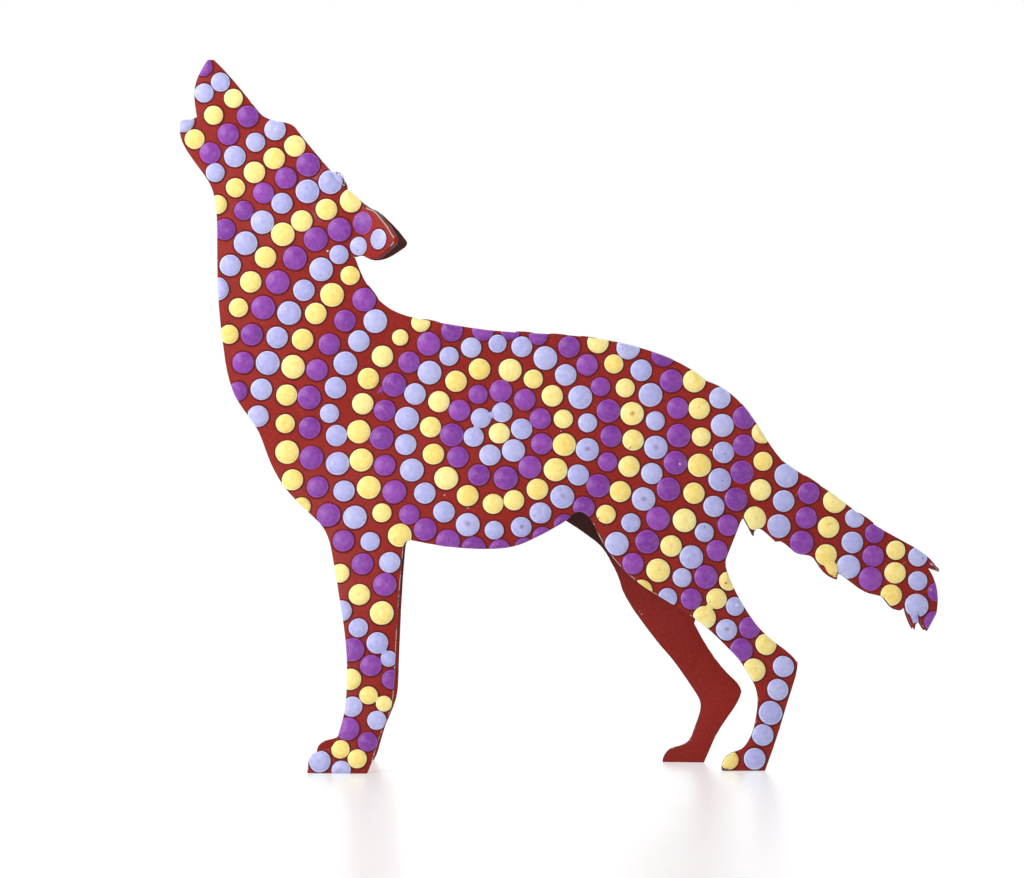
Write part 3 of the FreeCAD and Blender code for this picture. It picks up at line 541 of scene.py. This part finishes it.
class Dab:
    """One dab: a dome over the outline of the CAD dab's foot, and a thin ring of painted shade
    round it.
    """

    def __init__(self, faces, side, chance):
        self.side = side
        self.stand(faces)
        self.vary(chance)
        self.wider = self.taller = 1.0
        if side == NEAR:
            self.follow_photograph()

    def stand(self, faces):
        """Find where the dab stands, the way it faces, and its foot's outline about its centre."""
        foot, self.axis = foot_of(faces, AWAY * self.side)
        rim = rim_of(foot)
        origin = sum(rim, Vector()) / len(rim)
        self.across = self.axis.cross(UP).normalized()
        self.upward = self.across.cross(self.axis).normalized()
        flat = [((p - origin).dot(self.across), (p - origin).dot(self.upward),
                 (p - origin).dot(self.axis)) for p in rim]
        cx, cy = centroid(flat)
        self.centre = origin + self.across * cx + self.upward * cy
        self.outline = [(a - cx, b - cy, c) for a, b, c in flat]
        self.top = max((v.co - self.centre).dot(self.axis) for f in faces for v in f.verts)

    def vary(self, chance):
        """Draw what makes this dab differ from the next."""
        self.tone = chance.random()
        self.spot = chance.choice((0, 0, 0, 0, 0, 0.15, 0.3, 0.55))
        self.height = self.top * chance.uniform(0.92, 1.04)
        self.fullness = chance.uniform(2.0, 2.5)
        self.lean, self.lean_at = chance.uniform(0.0, 0.10), chance.uniform(0, math.tau)
        self.bump = chance.choice((-0.13, -0.07, 0, 0, 0, 0, 0.04, 0.05, 0.08, 0.10)) * MM
        self.bump_size = chance.uniform(0.28, 0.5) * MM
        self.bump_off = (chance.gauss(0, 0.2) * MM, chance.gauss(0, 0.2) * MM)
        self.ripple = chance.uniform(0.003, 0.012) * MM
        self.phase = chance.uniform(0, math.tau)
        self.ring_width = chance.uniform(0.34, 0.46) * MM
        self.shift = Vector([chance.uniform(0, 50) for _ in range(3)])

    def is_at(self, x, z, reach):
        """Whether the dab is within reach of a place of the profile, all in mm."""
        return math.hypot(self.centre.x - x * MM, self.centre.z - z * MM) < reach * MM

    def follow_photograph(self):
        """Give a near dab the stain, size or outline that the photograph shows on it."""
        self.spot *= 0.3
        for x, z, depth in STAINED:
            if self.is_at(x, z, FIND):
                self.spot = depth
        for x, z, wider, taller in EAR_DABS:
            if self.is_at(x, z, FIND_EAR):
                self.wider, self.taller = wider, taller
        if self.is_at(*EVEN_DAB, FIND):
            hull = geometry.convex_hull_2d([p[:2] for p in self.outline])
            self.outline = [self.outline[i] for i in hull]

    def ways(self):
        """The directions from the middle, each with its reach and the rim's height there."""
        found = []
        for k in range(AROUND):
            angle = math.tau * k / AROUND
            out = self.across * math.cos(angle) + self.upward * math.sin(angle)
            round_place = Vector((math.cos(angle), math.sin(angle), 0)) * WAVE_PACE
            wave = noise.noise(self.shift + round_place)
            reach, rim = reach_along(self.outline, angle)
            growth = 1 / math.hypot(math.cos(angle) / self.wider, math.sin(angle) / self.taller)
            found.append(Way(out, wave, growth * reach * (1 + WAVE * wave), growth ** 2 * rim,
                             math.cos(angle - self.lean_at)))
        return found

    def rise_at(self, radial, flat_at, way):
        """The dome's height: crown, lean, middle bump, ripples, lumps and the foot's own bend."""
        dome = max(0.0, 1 - radial ** self.fullness) ** SHOULDER
        rise = self.height * dome * (1 + self.lean * radial * way.leaning)
        off = math.hypot(flat_at.dot(self.across) - self.bump_off[0],
                         flat_at.dot(self.upward) - self.bump_off[1])
        rise += self.bump * math.exp(-(off / self.bump_size) ** 2)
        rise += self.ripple * dome * math.sin(RIPPLES * radial + self.phase + 0.4 * way.wave)
        rise += LUMP_RISE * dome * noise.noise(self.shift + flat_at / LUMP_SIZE)
        return rise + (FILM + way.rim * radial ** 3)

    def ring_end(self, rim_point, way):
        """Where the ring of painted shade ends on the plate, or just off the rim where no plate is
        left.
        """
        for share in RING_SHARES:
            away = rim_point + way.out * (share * self.ring_width) * (1 + RING_WAVE * way.wave)
            place, normal, *_ = PLATE_SHAPES[self.side].ray_cast(away + self.axis * PROBE,
                                                                 -self.axis, 2 * PROBE)
            if (place and normal.dot(self.axis) > 0.8
                    and abs((place - away).dot(self.axis)) < 0.2 * MM):
                return place + self.axis * 0.8 * FILM
        return rim_point + way.out * OFF_RIM

    def grow(self, bm, layer):
        """Add the dab to a bmesh."""
        def point(place, radial):
            vert = bm.verts.new(place)
            vert[layer] = (self.tone, radial, self.spot, 1.0)
            return vert

        ways, rows = self.ways(), []
        for radial in RADIAL:
            row = []
            for way in ways:
                flat_at = way.out * (radial * way.reach)
                rise = self.rise_at(radial, flat_at, way)
                row.append(point(self.centre + flat_at + self.axis * rise, OUTLINE * radial))
            rows.append(row)
        middle = sum((v.co for v in rows[0]), Vector()) / AROUND
        tip = point(middle + self.axis * 0.1 * self.bump, 0.0)
        inner, outer, skirt = [], [], []
        for vert, way in zip(rows[-1], ways):
            end = self.ring_end(vert.co, way)
            inner.append(point(vert.co + way.out * OFF_RIM, 1.0))
            outer.append(point(end, 1.0))
            skirt.append(point(end - self.axis * SKIRT, 1.0))
        base = point(self.centre - self.axis * SKIRT, 1.0)
        rows += [inner, outer, skirt]
        for k in range(AROUND):
            n = (k + 1) % AROUND
            bm.faces.new((tip, rows[0][k], rows[0][n]))
            for near_row, far_row in zip(rows, rows[1:]):
                bm.faces.new((near_row[k], far_row[k], far_row[n], near_row[n]))
            bm.faces.new((skirt[k], base, skirt[n]))


def dabs_of(node, colour, seed):
    """All the dabs of one CAD node, as one piece."""
    chance = random.Random(seed)
    side = NEAR if node.startswith("near") else FAR
    cad = welded(nodes[node].data)
    bm, layer = painted_mesh("dab_paint")
    for faces in islands(cad):
        Dab(faces, side, chance).grow(bm, layer)
    cad.free()
    bmesh.ops.recalc_face_normals(bm, faces=bm.faces)
    smoothed(bm)
    new_piece(f"{node}_dabs", bm, PAINT[colour], f"{colour}_dabs", node)


for index, node in enumerate(sorted(nodes)):
    colour = node.split("_")[-1]
    if colour in COLOURS:
        dabs_of(node, colour, 1000 + index)


# ---------------------------------------------------------------- tack welds
BEAD_SHARE = 0.95               # a bead's half sizes over those of its CAD weld, before its lumps
BEAD_SUNK = 0.25                # how far a bead goes below the edges that it joins, mm
BEAD_MOST = 1.1                 # the most that a lump makes a bead grow


def weld_bead(bm, zone, faces, chance):
    """One weld bead, lumpy and sunk a little into the edges that it joins."""
    points = [v.co for f in faces for v in f.verts]
    foot, axis = foot_of(faces, UP)
    middle = sum((f.calc_center_median() * f.calc_area() for f in foot), Vector())
    middle /= sum(f.calc_area() for f in foot)
    along = AWAY.cross(axis).normalized()
    across = axis.cross(along).normalized()
    half_long = max(abs((p - middle).dot(along)) for p in points)
    half_wide = max(abs((p - middle).dot(across)) for p in points)
    tall = max((p - middle).dot(axis) for p in points)
    made = bmesh.ops.create_icosphere(bm, subdivisions=4, radius=1.0)
    shift = Vector([chance.uniform(0, 40) for _ in range(3)])
    for vert in made["verts"]:
        d = vert.co.normalized()
        swell = 1 + 0.16 * noise.noise(shift + d * 1.7) + 0.05 * noise.noise(shift + d * 5)
        swell = min(swell, BEAD_MOST)
        rise = d.z * tall * BEAD_SHARE * swell if d.z > 0 else d.z * BEAD_SUNK * MM
        vert.co = (middle + along * (d.x * half_long * BEAD_SHARE * swell)
                   + across * (d.y * half_wide * BEAD_SHARE * swell) + axis * rise)
        vert[zone] = (0.0, 0.25, 0.0, 0.0)


def weld_beads():
    """The tack welds that join the plates' top edges."""
    cad = welded(nodes["tack_welds"].data)
    bm, zone = painted_mesh("zone")
    chance = random.Random(5)
    for faces in islands(cad):
        weld_bead(bm, zone, faces, chance)
    cad.free()
    smoothed(bm)
    new_piece("tack_weld_beads", bm, RED, "red_paint", "tack_welds")


weld_beads()


# ---------------------------------------------------------------- small marks in the paint
WHITE, LILAC, BROWN = (0.80, 0.78, 0.82), (0.45, 0.25, 0.60), (0.045, 0.008, 0.006)
STRAW, RUST, STEEL = (0.85, 0.62, 0.16), (0.20, 0.012, 0.010), (0.10, 0.09, 0.085)
PINK, GREY = (0.72, 0.40, 0.34), (0.30, 0.29, 0.28)
ORANGE, SCRATCH, CREAM = (0.75, 0.30, 0.05), (0.34, 0.035, 0.03), (0.95, 0.80, 0.62)
SLATE, DUST, PERIWINKLE = (0.30, 0.42, 0.62), (0.30, 0.26, 0.22), (0.62, 0.62, 0.88)
MARKS = (               # near side: x, z, half length, half width in mm, lean in degrees, colour
    # the white speck at -55.7, 123.6 is a painted highlight that stands in for a glint
    (36.2, 75.9, 0.26, 0.24, 0, STRAW), (-55.7, 123.6, 0.25, 0.20, 0, WHITE),
    (28.6, 72.5, 0.22, 0.20, 0, WHITE), (38.8, 68.5, 0.18, 0.14, 0, RUST),
    (34.4, 57.5, 0.20, 0.14, 20, RUST), (39.3, 80.4, 0.20, 0.18, 0, STRAW),
    (21.2, 81.1, 0.45, 0.13, 35, BROWN), (16.7, 76.4, 0.50, 0.10, 48, STEEL),
    (9.1, 59.6, 0.35, 0.12, 40, BROWN), (88.8, 42.5, 0.24, 0.18, 70, ORANGE),
    (-47.5, 51.4, 0.22, 0.15, 10, BROWN), (16.9, 53.0, 0.42, 0.13, -8, BROWN),
    (-38.4, 40.0, 0.40, 0.26, 60, STEEL), (56.9, 65.6, 0.90, 0.22, 62, SCRATCH),
    (64.5, 58.2, 0.50, 0.13, 28, PINK), (65.3, 63.4, 0.34, 0.08, -20, PINK),
    (82.6, 48.9, 0.70, 0.22, 45, SCRATCH), (65.2, 45.6, 0.26, 0.20, 0, RUST),
    (66.2, 45.9, 0.22, 0.18, 0, RUST), (42.0, 38.9, 0.42, 0.34, 15, WHITE),
    (24.7, 62.5, 0.14, 0.12, 0, BROWN), (2.9, 59.8, 0.20, 0.10, 30, BROWN),
    (89.0, 48.5, 0.55, 0.25, -40, LILAC), (90.4, 47.5, 0.60, 0.22, -38, GREY),
    (-60.3, 0.5, 0.45, 0.32, 35, GREY), (39.2, 0.5, 0.40, 0.25, 20, GREY),
    (-36.9, 29.6, 0.16, 0.14, 0, BROWN), (86.8, 50.0, 0.16, 0.14, 0, RUST),
    (-39.5, 93.6, 0.18, 0.14, 20, BROWN), (-40.0, 93.7, 0.16, 0.12, 0, LILAC),
    (39.4, 44.2, 0.34, 0.24, 20, LILAC), (38.0, 40.1, 0.34, 0.28, 0, CREAM),
    (35.5, 39.6, 0.22, 0.16, 60, SLATE), (90.2, 47.7, 0.75, 0.22, -40, STEEL),
    (-13.1, 64.9, 0.20, 0.18, 0, WHITE), (-27.6, 65.1, 0.26, 0.15, 30, PINK),
    (-7.7, 84.6, 0.26, 0.18, 20, BROWN), (0.2, 80.4, 0.16, 0.14, 0, PINK),
    (-22.0, 62.0, 0.24, 0.14, 0, PINK),
)
FAR_MARKS = (           # the same for the far leg's inner face
    (19.4, 36.9, 0.20, 0.16, 0, DUST), (19.9, 36.2, 0.20, 0.18, 0, PINK),
    (41.0, 21.4, 0.35, 0.16, -50, BROWN), (42.4, 19.9, 0.30, 0.16, -50, BROWN),
)


def touch(x, z, side):
    """The surface seen at a place of the profile and the way it faces, or None off that side."""
    bpy.context.view_layer.update()
    found, point, normal, *_ = scene.ray_cast(bpy.context.evaluated_depsgraph_get(),
                                              Vector((x, BEFORE, z)), AWAY)
    return (point, normal) if found and point.y * side > 0 else None


def lump(bm, layer, centre, axis, lean, half_sizes, colour, chance):
    """A rounded crumb of paint about centre, whose third half size is along axis."""
    half_long, half_wide, half_tall = half_sizes
    along = axis.cross(UP).normalized() * -1
    up = axis.cross(along).normalized()
    turn = math.radians(lean)
    first = along * math.cos(turn) + up * math.sin(turn)
    second = axis.cross(first)
    shift = Vector([chance.uniform(0, 40) for _ in range(3)])
    for vert in bmesh.ops.create_icosphere(bm, subdivisions=3, radius=1.0)["verts"]:
        d = vert.co.normalized()
        size = 1 + 0.22 * noise.noise(shift + d * 1.9)
        vert.co = (centre + first * (d.x * half_long * size) + second * (d.y * half_wide * size)
                   + axis * (d.z * half_tall * size))
        vert[layer] = (*colour, 1.0)


CROWN_X, CROWN_Y, CROWN_Z = -54.0, -1.35, 140.2         # the dab that hangs over the crown, mm
CROWN_RADIUS, CROWN_THICK = 2.3, 0.7                    # its radius, and half its thickness, mm
CROWN_TONE = (0.6, 0.4, 0.0)                            # its tone, place on a dome and stain
CRUMBS = 34                                             # the crust along that dab's outer edge
CRUST_FROM, CRUST_TURN = 86, 118                        # its first bearing and its arc, degrees
CRUST_Y, CRUST_REACH = (-1.95, -1.35), (0.84, 1.03)     # y in mm, and reach over the radius
CRUMB_SIZE = (0.14, 0.32)                               # half a crumb's length, mm
CRUST_TOP = (WHITE, WHITE, LILAC, PERIWINKLE, PINK)
CRUST_FOOT = (BROWN, BROWN, RUST, LILAC, WHITE)
CRUST_FACING = Vector((0.3, -1, 0.3)).normalized()


def surface_marks(bm, layer, chance):
    """Specks and nicks at their places on the figure."""
    for side, marks in ((NEAR, MARKS), (FAR, FAR_MARKS)):
        for x, z, half_long, half_wide, lean, colour in marks:
            place = touch(x * MM, z * MM, side)
            if place:
                sizes = (half_long * MM, half_wide * MM, 0.35 * half_wide * MM)
                lump(bm, layer, *place, lean, sizes, colour, chance)


def crown_crust(bm, layer, chance):
    """Crumbs along the outer edge of the dab on the crown."""
    for k in range(CRUMBS):
        share = k / (CRUMBS - 1)
        bearing = math.radians(CRUST_FROM - CRUST_TURN * share + chance.gauss(0, 3))
        reach = CROWN_RADIUS * chance.uniform(*CRUST_REACH)
        x = CROWN_X + reach * math.cos(bearing)
        z = CROWN_Z + reach * math.sin(bearing)
        size = chance.uniform(*CRUMB_SIZE) * MM
        colour = chance.choice(CRUST_TOP if share < 0.45 else CRUST_FOOT)
        centre = Vector((x * MM, chance.uniform(*CRUST_Y) * MM, z * MM))
        lump(bm, layer, centre, CRUST_FACING, chance.uniform(0, 180),
             (size, 0.8 * size, 0.8 * size), colour, chance)


def small_marks():
    """Specks, nicks and stray crumbs, and the paint that hangs over the crown."""
    chance = random.Random(77)
    bm, layer = painted_mesh("mark")
    surface_marks(bm, layer, chance)
    crown_crust(bm, layer, chance)
    smoothed(bm)
    new_piece("paint_specks", bm, mark_paint(), "red_paint")
    bm, layer = painted_mesh("dab_paint")
    lump(bm, layer, Vector((CROWN_X * MM, CROWN_Y * MM, CROWN_Z * MM)), -AWAY, 0,
         (CROWN_RADIUS * MM, CROWN_RADIUS * MM, CROWN_THICK * MM), CROWN_TONE, chance)
    smoothed(bm)
    new_piece("crown_overhang", bm, PAINT["blue"], "blue_dabs")


# ---------------------------------------------------------------- runs of paint
RUNS = {                # runs of paint, and necks that join dabs: x, z and half width in mm
    "yellow_drip": ("yellow", [((63.7, 50.4, 1.8), (64.3, 49.0, 1.30), (65.0, 47.8, 1.42),
                                (65.5, 46.8, 1.30), (65.8, 46.0, 0.6))]),
    "blue_run": ("blue", [((84.4, 37.0, 1.0), (84.8, 35.9, 0.85), (85.0, 34.8, 0.7))]),
    "purple_tail": ("purple", [((-41.8, 91.0, 0.8), (-42.9, 90.2, 0.45), (-43.6, 89.6, 0.2))]),
    "blue_necks": ("blue", [((-15.6, 84.45, 0.85), (-17.3, 83.98, 0.80)),
                            ((-19.6, 82.05, 0.80), (-20.2, 80.4, 0.75)),
                            ((-42.31, 29.02, 0.80), (-41.25, 27.56, 0.75))]),
    "yellow_necks": ("yellow", [((-44.06, 17.52, 0.72), (-42.48, 16.66, 0.68)),
                                ((35.96, 39.2, 0.90), (35.0, 37.65, 0.90))]),
}
RUN_STEPS, RUN_SIDES = 4, 12    # steps from one station to the next, and sides of a section
RUN_HEIGHT = 0.55               # a run's height over its half width
RUN_FULLNESS = 0.8              # the power that squares a run's section a little
RUN_RIM = 0.75                  # the place on a dome whose colour a run's sides take, which gives them the painted rim highlight
RUN_LIFT = 0.01                 # how far a run stands off the plate's face, mm
END_STEPS = (0.35, 0.70, 0.96)  # sections of a round end, as shares of its half width
FACE_Y = -1.5 * MM              # the near plate's face, for a section that hangs past its edge


def round_end(station, direction):
    """Sections that close a run off round beyond a station."""
    x, z, half = station
    return [(x + direction.x * half * g, z + direction.y * half * g, half * math.sqrt(1 - g * g))
            for g in END_STEPS]


def run_sections(stations):
    """Sections all along a run, its round ends included, and the way it goes."""
    points = []
    for (ax, az, aw), (bx, bz, bw) in zip(stations, stations[1:]):
        for k in range(RUN_STEPS):
            share = k / RUN_STEPS
            points.append((ax + (bx - ax) * share, az + (bz - az) * share,
                           aw + (bw - aw) * share))
    points.append(stations[-1])
    down = (Vector(points[-1][:2]) - Vector(points[0][:2])).normalized()
    start, end = round_end(points[0], -down), round_end(points[-1], down)
    return start[::-1] + points + end, down


def paint_run(bm, layer, tone, stations):
    """A run of paint down the near plate, round in section and at both ends."""
    points, down = run_sections(stations)
    rows = []
    for x, z, half in points:
        hit = PLATE_SHAPES[NEAR].ray_cast(Vector((x * MM, BEFORE, z * MM)), AWAY)
        y = hit[0].y if hit[0] else FACE_Y
        row = []
        for k in range(RUN_SIDES + 1):
            turn = math.pi * k / RUN_SIDES
            across = -math.cos(turn) * half * MM
            rise = math.sin(turn) ** RUN_FULLNESS * RUN_HEIGHT * half * MM
            vert = bm.verts.new((x * MM - across * down.y, y - rise - RUN_LIFT * MM,
                                 z * MM + across * down.x))
            vert[layer] = (tone, RUN_RIM * abs(math.cos(turn)), 0.0, 1.0)
            row.append(vert)
        rows.append(row)
    for a, b in zip(rows, rows[1:]):
        for k in range(RUN_SIDES):
            bm.faces.new((a[k], a[k + 1], b[k + 1], b[k]))
        bm.faces.new((a[-1], a[0], b[0], b[-1]))
    bm.faces.new(rows[0])
    bm.faces.new(rows[-1])


def paint_runs():
    """Each entry of RUNS as one piece, in one tone of its colour."""
    for name, (colour, runs) in RUNS.items():
        tone = random.Random(name).random()
        bm, layer = painted_mesh("dab_paint")
        for stations in runs:
            paint_run(bm, layer, tone, stations)
        bmesh.ops.recalc_face_normals(bm, faces=bm.faces)
        smoothed(bm)
        new_piece(name, bm, PAINT[colour], f"{colour}_dabs")


paint_runs()
small_marks()           # after the runs, because specks lie on these too


# ---------------------------------------------------------------- table, light and camera
TABLE_HALF = 6.0
DISTANCE, EYE_HEIGHT, EYE_X = 0.900, 0.0677, -0.0115
PITCH_UP = 0.69                 # degrees
SENSOR, LENS = 36.0, 131.8359375        # mm


def table_top():
    """A wide flat sheet of back-lit acrylic."""
    bm = bmesh.new()
    bmesh.ops.create_grid(bm, x_segments=2, y_segments=2, size=TABLE_HALF)
    mesh = bpy.data.meshes.new("white_table")
    bm.to_mesh(mesh)
    bm.free()
    table = bpy.data.objects.new("white_table", mesh)
    mesh.materials.append(floor_paint())
    scene.collection.objects.link(table)


def area_light(name, place, target, size, power):
    """A soft rectangle of light, aimed at target and hidden from the camera."""
    light = bpy.data.lights.new(name, "AREA")
    light.shape = "RECTANGLE"
    light.size, light.size_y = size
    light.energy = power
    lamp = bpy.data.objects.new(name, light)
    lamp.location = place
    lamp.visible_camera = False
    direction = Vector(target) - Vector(place)
    lamp.rotation_euler = direction.to_track_quat("-Z", "Y").to_euler()
    scene.collection.objects.link(lamp)


def studio_world():
    """White all round to the eye; as a light, bright behind the figure and dim before it."""
    world = bpy.data.worlds.new("studio")
    world.use_nodes = True
    tree = world.node_tree
    background = tree.nodes["Background"]
    background.inputs["Color"].default_value = (1.0, 1.0, 1.0, 1.0)
    direction = tree.nodes.new("ShaderNodeTexCoord")
    split = tree.nodes.new("ShaderNodeSeparateXYZ")
    tree.links.new(direction.outputs["Generated"], split.inputs[0])
    ramp = tree.nodes.new("ShaderNodeMapRange")
    ramp.interpolation_type = "SMOOTHSTEP"
    tree.links.new(split.outputs["Y"], ramp.inputs["Value"])
    for key, value in (("From Min", -0.5), ("From Max", 0.5), ("To Min", 0.20), ("To Max", 1.0)):
        ramp.inputs[key].default_value = value
    path = tree.nodes.new("ShaderNodeLightPath")
    seen = tree.nodes.new("ShaderNodeMath")
    seen.operation = "MAXIMUM"
    tree.links.new(ramp.outputs["Result"], seen.inputs[0])
    tree.links.new(path.outputs["Is Camera Ray"], seen.inputs[1])
    tree.links.new(seen.outputs[0], background.inputs["Strength"])
    scene.world = world


table_top()
studio_world()
area_light("key", (-0.33, -0.27, 0.30), (-0.02, 0.0, 0.10), (0.34, 0.34), 2.15)
area_light("fill", (0.66, -0.42, 0.32), (0.04, 0.0, 0.06), (0.50, 0.50), 1.45)
scene.view_settings.view_transform = "Standard"

camera_data = bpy.data.cameras.new("camera")
camera_data.sensor_width = SENSOR
camera_data.lens = LENS
camera_data.clip_start, camera_data.clip_end = 0.01, 50.0
camera = bpy.data.objects.new("camera", camera_data)
camera.location = (EYE_X, -DISTANCE, EYE_HEIGHT)
camera.rotation_euler = (math.radians(90 + PITCH_UP), 0.0, 0.0)
scene.collection.objects.link(camera)
scene.camera = camera
